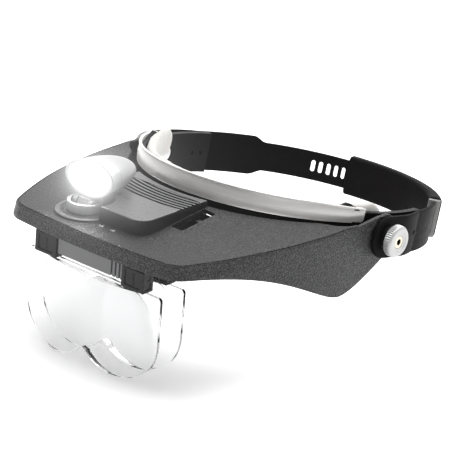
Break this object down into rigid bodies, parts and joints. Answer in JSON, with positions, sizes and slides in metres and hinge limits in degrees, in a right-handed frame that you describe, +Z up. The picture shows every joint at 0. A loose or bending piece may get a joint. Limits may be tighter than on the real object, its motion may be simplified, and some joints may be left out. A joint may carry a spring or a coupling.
{
  "type": "head visor magnifier",
  "caption": "Adjustable headband with a foam brow pad and a tilting black visor that carries a swivelling lamp and clear flip-up binocular lens plates.",
  "frame": {"origin": "midpoint of the visor's tilt axis, between the two side knobs", "axes": "+Z up with the visor level, -Y forward, +X to the wearer's left"},
  "size_m": [0.19, 0.266, 0.1034],
  "materials": {
    "band_black": "semi-gloss black moulded plastic",
    "brow_silver": "satin silver-grey painted plastic cover",
    "pad_foam": "cream foam with a soft skin",
    "rivet_steel": "dark rivet heads",
    "latch_grey": "grey plastic",
    "pin_steel": "plain steel",
    "knob_nickel": "bright plated, knurled rim",
    "knob_brass": "dull brass",
    "visor_black": "finely textured black plastic",
    "housing_grey": "satin grey plastic",
    "lamp_silver": "pale silver plastic",
    "reflector": "mirror bright",
    "lamp_clear": "clear lamp window",
    "led_yellow": "lit white light source",
    "board_green": "printed board",
    "cell_wrap": "plain cell wrapper",
    "contact_nickel": "nickel plated spring contacts",
    "clip_black": "gloss black plastic",
    "bar_grey": "dark grey plastic",
    "lens_acrylic": "clear polished acrylic"
  },
  "bodies": {
    "headband": {"brow_frame": "band_black", "brow_cover": "brow_silver", "brow_pad": "pad_foam", "strap_left": "band_black", "strap_right": "band_black", "strap_rivets": "rivet_steel", "rear_sleeve": "band_black", "strap_keeper": "latch_grey", "latch_pin": "pin_steel", "pivot_bolts": "pin_steel", "pivot_washers": "pin_steel"},
    "latch": {"latch_lever": "latch_grey"},
    "knob_left": {"knob_left": "knob_nickel", "knob_inserts_left": "knob_brass"},
    "knob_right": {"knob_right": "knob_nickel", "knob_inserts_right": "knob_brass"},
    "visor": {"visor_shell": "visor_black", "lamp_housing": "housing_grey", "battery_tray": "visor_black", "battery_cells": "cell_wrap", "battery_contacts": "contact_nickel", "switch_body": "clip_black", "tray_screws": "pin_steel", "stem_ring": "housing_grey", "front_lens_bar": "bar_grey", "rear_lens_bar": "bar_grey", "bar_screws": "pin_steel", "front_hinge_pin": "pin_steel", "rear_hinge_pin": "pin_steel"},
    "battery_door": {"battery_door": "housing_grey"},
    "switch": {"switch_slider": "latch_grey"},
    "lamp_stem": {"lamp_stem": "lamp_silver", "stem_retainer": "pin_steel", "tilt_pin": "pin_steel"},
    "lamp_head": {"lamp_lug": "lamp_silver", "lamp_shell": "lamp_silver", "lamp_bezel": "lamp_silver", "lamp_reflector": "reflector", "lamp_lens": "lamp_clear", "led_chip": "led_yellow", "led_board": "board_green"},
    "front_lens": {"front_lens_clips": "clip_black", "front_lens_plate": "lens_acrylic"},
    "rear_lens": {"rear_lens_clips": "clip_black", "rear_lens_plate": "lens_acrylic"}
  },
  "joints": [
    {"name": "visor_tilt", "type": "hinge", "parent": "headband", "child": "visor", "pos_m": [0, 0, 0], "axis": [-1, 0, 0], "range_deg": [-10, 50]},
    {"name": "knob_left_turn", "type": "hinge", "parent": "headband", "child": "knob_left", "pos_m": [0.0867, 0, 0], "axis": [1, 0, 0], "range_deg": [0, 360]},
    {"name": "knob_right_turn", "type": "hinge", "parent": "headband", "child": "knob_right", "pos_m": [-0.0867, 0, 0], "axis": [-1, 0, 0], "range_deg": [0, 360]},
    {"name": "latch_press", "type": "hinge", "parent": "headband", "child": "latch", "pos_m": [-0.00313, 0.11385, -0.02306], "axis": [0, -0.1985, -0.9801], "range_deg": [0, 9], "stiffness_Nm_per_rad": 0.05},
    {"name": "lamp_swivel", "type": "hinge", "parent": "visor", "child": "lamp_stem", "pos_m": [-0.024, -0.124, 0.012], "axis": [0, 0, 1], "range_deg": [-60, 75]},
    {"name": "lamp_tilt", "type": "hinge", "parent": "lamp_stem", "child": "lamp_head", "pos_m": [-0.024, -0.124, 0.0164], "axis": [1, 0, 0], "range_deg": [0, 35]},
    {"name": "front_lens_flip", "type": "hinge", "parent": "visor", "child": "front_lens", "pos_m": [0, -0.141, -0.001], "axis": [-1, 0, 0], "range_deg": [0, 90]},
    {"name": "rear_lens_flip", "type": "hinge", "parent": "visor", "child": "rear_lens", "pos_m": [0, -0.123, -0.001], "axis": [1, 0, 0], "range_deg": [0, 90]},
    {"name": "battery_door_slide", "type": "slide", "parent": "visor", "child": "battery_door", "axis": [1, 0, 0], "range_m": [0, 0.03]},
    {"name": "switch_slide", "type": "slide", "parent": "visor", "child": "switch", "axis": [0, 1, 0], "range_m": [0, 0.003]}
  ]
}
